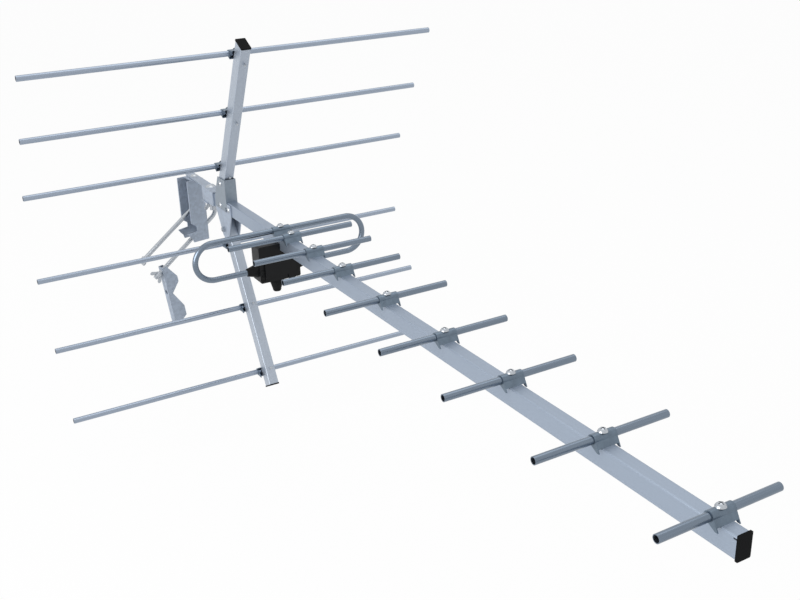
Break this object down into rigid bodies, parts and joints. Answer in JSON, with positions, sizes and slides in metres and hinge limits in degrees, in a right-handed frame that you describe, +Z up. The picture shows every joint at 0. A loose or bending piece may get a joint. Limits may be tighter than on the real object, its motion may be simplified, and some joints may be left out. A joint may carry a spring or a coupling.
{
  "type": "outdoor tv antenna",
  "caption": "Directional rod antenna: a long rectangular boom with cross rods, a folded dipole at its junction box, two slanted reflector arms and a swivelling mast clamp.",
  "frame": {"origin": "centre of the mast clamp, on its swivel axis and midway between the legs of the U-bolt", "axes": "+X along the boom towards its front end, +Y along the rods, +Z up and along the swivel axis"},
  "size_m": [1.219, 0.612, 0.5349],
  "materials": {
    "tube_aluminium": "extruded, mill finish",
    "rod_aluminium": "drawn tube, bright",
    "clip_steel": "pressed and zinc plated",
    "galvanised_sheet": "hot-dip galvanised",
    "zinc_bolt": "zinc plated",
    "zinc_screw": "zinc plated",
    "black_plastic": "moulded, fine grain",
    "soft_rubber": "matt",
    "terminal_board": "laminate",
    "terminal_brass": "machined"
  },
  "bodies": {
    "clamp": {"mast_bracket": "galvanised_sheet", "u_bolt": "zinc_bolt"},
    "antenna": {"boom": "tube_aluminium", "upper_arm": "tube_aluminium", "lower_arm": "tube_aluminium", "director_1": "rod_aluminium", "director_2": "rod_aluminium", "director_3": "rod_aluminium", "director_4": "rod_aluminium", "director_5": "rod_aluminium", "director_6": "rod_aluminium", "director_7": "rod_aluminium", "director_8": "rod_aluminium", "upper_reflector_rod_1": "rod_aluminium", "upper_reflector_rod_2": "rod_aluminium", "upper_reflector_rod_3": "rod_aluminium", "lower_reflector_rod_1": "rod_aluminium", "lower_reflector_rod_2": "rod_aluminium", "lower_reflector_rod_3": "rod_aluminium", "folded_dipole": "rod_aluminium", "director_clip_1": "clip_steel", "director_clip_2": "clip_steel", "director_clip_3": "clip_steel", "director_clip_4": "clip_steel", "director_clip_5": "clip_steel", "director_clip_6": "clip_steel", "director_clip_7": "clip_steel", "director_clip_8": "clip_steel", "dipole_clip": "clip_steel", "upper_reflector_clip_1": "clip_steel", "upper_reflector_clip_2": "clip_steel", "upper_reflector_clip_3": "clip_steel", "lower_reflector_clip_1": "clip_steel", "lower_reflector_clip_2": "clip_steel", "lower_reflector_clip_3": "clip_steel", "arm_saddle": "galvanised_sheet", "arm_hanger": "galvanised_sheet", "rear_bracket": "galvanised_sheet", "rear_washer": "galvanised_sheet", "rear_bolt": "zinc_bolt", "swivel_bolt": "zinc_bolt", "saddle_bolts": "zinc_bolt", "hanger_bolts": "zinc_bolt", "clip_screws": "zinc_screw", "box_screw": "zinc_screw", "boom_front_cap": "black_plastic", "upper_arm_cap": "black_plastic", "lower_arm_cap": "black_plastic", "junction_box_base": "black_plastic", "junction_box_cover": "black_plastic", "dipole_boots": "soft_rubber", "cable_gland": "soft_rubber", "box_seal": "soft_rubber", "terminal_board": "terminal_board", "terminal_screws": "terminal_brass"},
    "jaw": {"clamp_jaw": "galvanised_sheet"},
    "upper_nut": {"upper_wing_nut": "zinc_bolt"},
    "lower_nut": {"lower_wing_nut": "zinc_bolt"},
    "rear_nut": {"rear_wing_nut": "zinc_bolt"}
  },
  "joints": [
    {"name": "mast_swivel", "type": "hinge", "parent": "clamp", "child": "antenna", "pos_m": [0, 0, 0.062], "axis": [0, 0, 1], "continuous": true},
    {"name": "jaw_swing", "type": "hinge", "parent": "clamp", "child": "jaw", "pos_m": [0.01374, -0.07791, -0.08225], "axis": [0.144, -0.8164, -0.5592], "range_deg": [-130, 130]},
    {"name": "upper_nut_turn", "type": "hinge", "parent": "clamp", "child": "upper_nut", "pos_m": [0.0189, -0.10718, -0.05464], "axis": [0.144, -0.8164, -0.5592], "continuous": true},
    {"name": "lower_nut_turn", "type": "hinge", "parent": "clamp", "child": "lower_nut", "pos_m": [0.01506, -0.08543, -0.08739], "axis": [0.144, -0.8164, -0.5592], "continuous": true},
    {"name": "rear_nut_turn", "type": "hinge", "parent": "antenna", "child": "rear_nut", "pos_m": [0.075, 0, 0.03], "axis": [0, 0, 1], "continuous": true}
  ]
}
